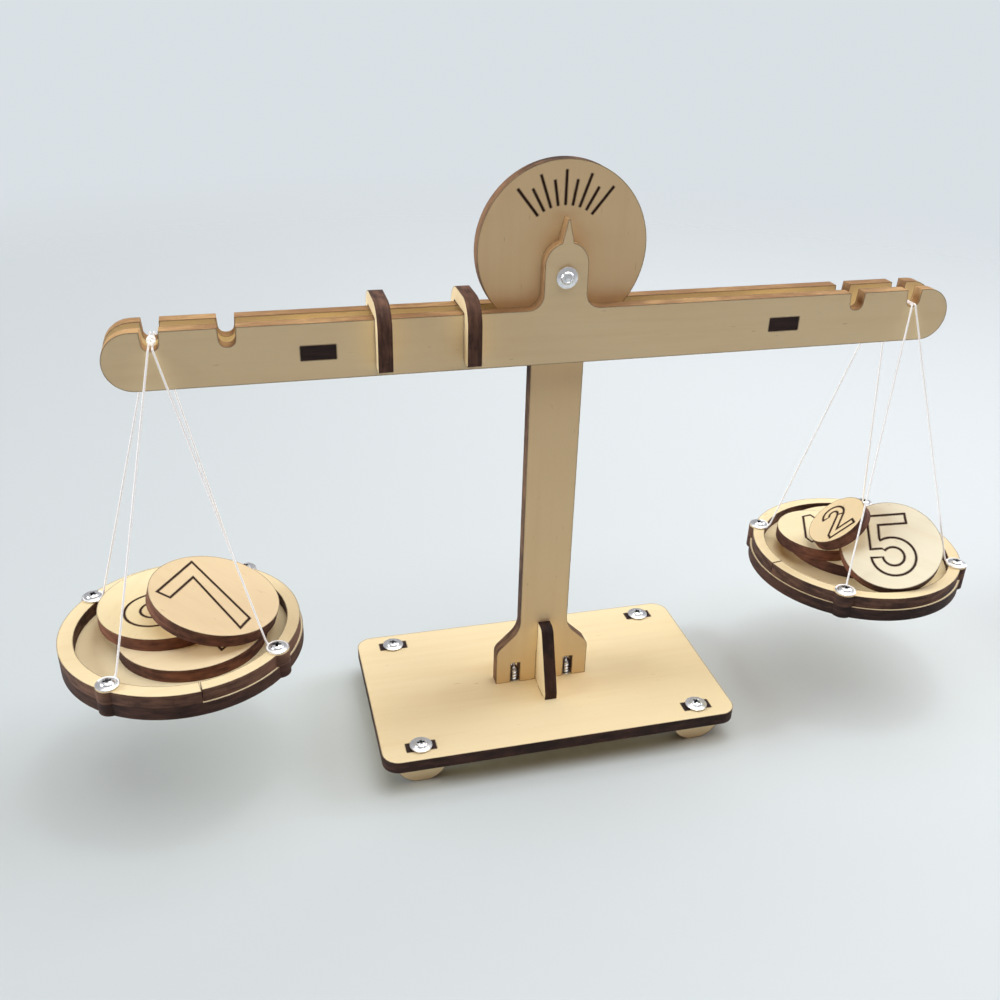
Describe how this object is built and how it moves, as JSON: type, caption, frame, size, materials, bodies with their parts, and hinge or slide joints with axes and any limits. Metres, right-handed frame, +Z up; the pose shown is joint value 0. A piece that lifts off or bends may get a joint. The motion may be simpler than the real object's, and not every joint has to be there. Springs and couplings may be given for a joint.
{
  "type": "math balance",
  "caption": "Small plywood beam balance with a dial and pointer, hanging string pans, sliding riders and loose number discs as weights.",
  "frame": {"origin": "middle of the base on the table", "axes": "+X to the right along the beam, +Y to the back, +Z up"},
  "size_m": [0.2232, 0.0532, 0.1371],
  "materials": {
    "plywood": "bare 3 mm plywood, burnt brown laser-cut edges",
    "screw_steel": "plated",
    "thread": "white twisted thread"
  },
  "bodies": {
    "stand": {"base_plate": "plywood", "front_left_foot": "plywood", "front_right_foot": "plywood", "rear_left_foot": "plywood", "rear_right_foot": "plywood", "foot_screws": "screw_steel", "post": "plywood", "post_brace": "plywood", "post_screws": "screw_steel"},
    "beam": {"beam_front_plate": "plywood", "beam_rear_plate": "plywood", "left_spacer": "plywood", "right_spacer": "plywood", "pivot_screw": "screw_steel"},
    "inner_rider": {"inner_rider": "plywood"},
    "outer_rider": {"outer_rider": "plywood"},
    "left_pan": {"left_pan_plate": "plywood", "left_pan_ring_half_1": "plywood", "left_pan_ring_half_2": "plywood", "left_pan_screws": "screw_steel", "left_pan_string_front_right": "thread", "left_pan_string_rear_right": "thread", "left_pan_string_rear_left": "thread", "left_pan_string_front_left": "thread", "left_pan_yoke": "thread"},
    "right_pan": {"right_pan_plate": "plywood", "right_pan_ring_half_1": "plywood", "right_pan_ring_half_2": "plywood", "right_pan_screws": "screw_steel", "right_pan_string_front_right": "thread", "right_pan_string_rear_right": "thread", "right_pan_string_rear_left": "thread", "right_pan_string_front_left": "thread", "right_pan_yoke": "thread"},
    "disc_9": {"disc_9": "plywood"},
    "disc_8": {"disc_8": "plywood"},
    "disc_7": {"disc_7": "plywood"},
    "disc_10": {"disc_10": "plywood"},
    "disc_4": {"disc_4": "plywood"},
    "disc_5": {"disc_5": "plywood"},
    "disc_2": {"disc_2": "plywood"}
  },
  "joints": [
    {"name": "beam_tilt", "type": "hinge", "parent": "stand", "child": "beam", "pos_m": [0, 0, 0.114], "axis": [0, 1, 0], "range_deg": [-18, 18]},
    {"name": "left_pan_swing", "type": "hinge", "parent": "beam", "child": "left_pan", "pos_m": [-0.0835, 0, 0.10378], "axis": [0, 1, 0], "range_deg": [-18, 18]},
    {"name": "right_pan_swing", "type": "hinge", "parent": "beam", "child": "right_pan", "pos_m": [0.0835, 0, 0.10378], "axis": [0, 1, 0], "range_deg": [-18, 18]},
    {"name": "inner_rider_slide", "type": "slide", "parent": "beam", "child": "inner_rider", "axis": [-1, 0, 0], "range_m": [0, 0.0085]},
    {"name": "outer_rider_slide", "type": "slide", "parent": "beam", "child": "outer_rider", "axis": [-1, 0, 0], "range_m": [-0.0065, 0.026]},
    {"name": "disc_9_turn", "type": "hinge", "parent": "left_pan", "child": "disc_9", "pos_m": [-0.0829, -0.0022, 0.03438], "axis": [0, 0, 1], "continuous": true},
    {"name": "disc_8_turn", "type": "hinge", "parent": "left_pan", "child": "disc_8", "pos_m": [-0.0879, 0.00506, 0.03438], "axis": [0, 0, 1], "continuous": true},
    {"name": "disc_7_lift", "type": "slide", "parent": "left_pan", "child": "disc_7", "axis": [-0.2095, 0.121, 0.9703], "range_m": [0, 0.008]},
    {"name": "disc_10_turn", "type": "hinge", "parent": "right_pan", "child": "disc_10", "pos_m": [0.087, 0.004, 0.03438], "axis": [0, 0, 1], "continuous": true},
    {"name": "disc_4_turn", "type": "hinge", "parent": "right_pan", "child": "disc_4", "pos_m": [0.0766, 0.0041, 0.03438], "axis": [0, 0, 1], "continuous": true},
    {"name": "disc_5_lift", "type": "slide", "parent": "right_pan", "child": "disc_5", "axis": [0, 0, 1], "range_m": [0, 0.005]},
    {"name": "disc_2_lift", "type": "slide", "parent": "disc_5", "child": "disc_2", "axis": [0, 0, 1], "range_m": [0, 0.008]}
  ],
  "couplings": [
    {"joint": "left_pan_swing", "follows": "beam_tilt", "ratio": -1},
    {"joint": "right_pan_swing", "follows": "beam_tilt", "ratio": -1}
  ]
}
